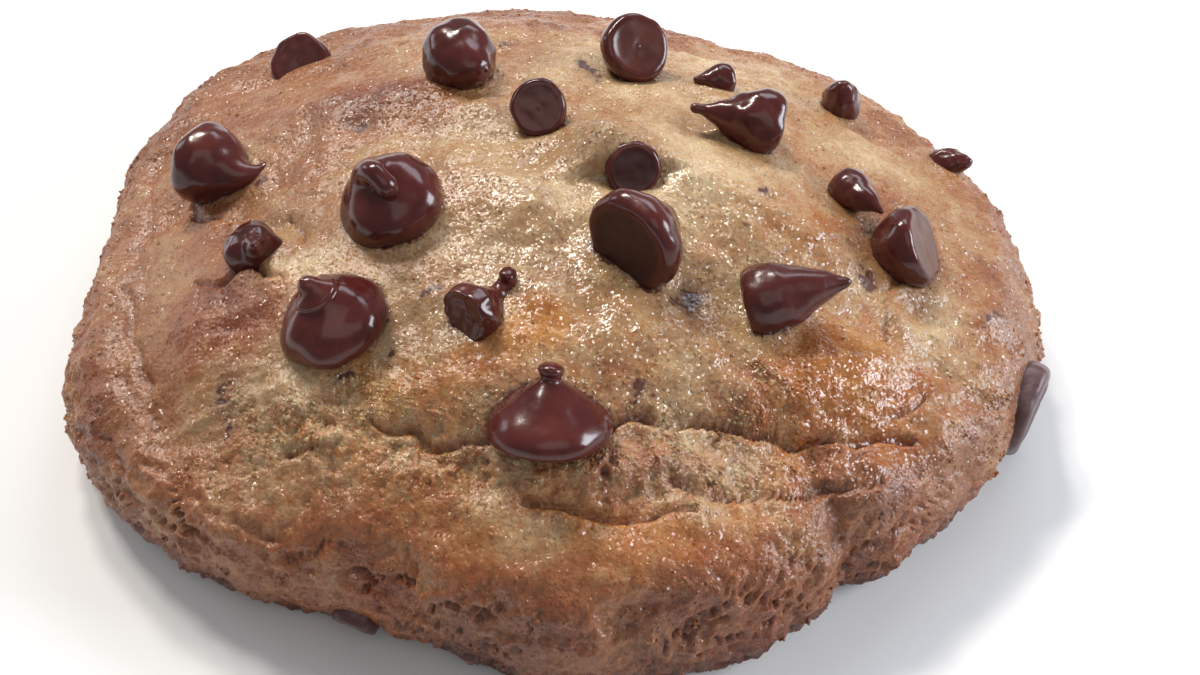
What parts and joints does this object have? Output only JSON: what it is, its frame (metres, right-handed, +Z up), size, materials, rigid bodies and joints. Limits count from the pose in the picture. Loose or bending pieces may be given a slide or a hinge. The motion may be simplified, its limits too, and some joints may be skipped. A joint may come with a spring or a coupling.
{
  "type": "chocolate chip cookie",
  "caption": "Thick round chocolate chip cookie with an uneven browned rim, a lumpy pale golden top and dark drop-shaped chips set in it.",
  "frame": {"origin": "centre of the whole cookie's box at the height of its flat underside", "axes": "+Z up out of the top, +X to the right along the cookie's longest width, -Y towards the thick front rim"},
  "size_m": [0.0998, 0.0896, 0.031],
  "materials": {
    "dough": "baked dough: golden tan with browner rim and foot, matt and finely grained, with small sugary glints",
    "chocolate": "dark red-brown chocolate, smooth with a soft gloss"
  },
  "bodies": {
    "root": {"dough": "dough", "chip_back_left": "chocolate", "chip_back_lying": "chocolate", "chip_back_flat": "chocolate", "chip_small_flat": "chocolate", "chip_small_back": "chocolate", "chip_drawn_tip": "chocolate", "chip_upright_back": "chocolate", "chip_rim_back": "chocolate", "chip_left_lying": "chocolate", "chip_centre_left": "chocolate", "chip_small_left": "chocolate", "chip_left": "chocolate", "chip_small_curled": "chocolate", "chip_front": "chocolate", "chip_centre_flat": "chocolate", "chip_hollow": "chocolate", "chip_right_flat": "chocolate", "chip_small_right": "chocolate", "chip_covered": "chocolate", "chip_side_right": "chocolate", "chip_side_front": "chocolate"}
  },
  "joints": []
}
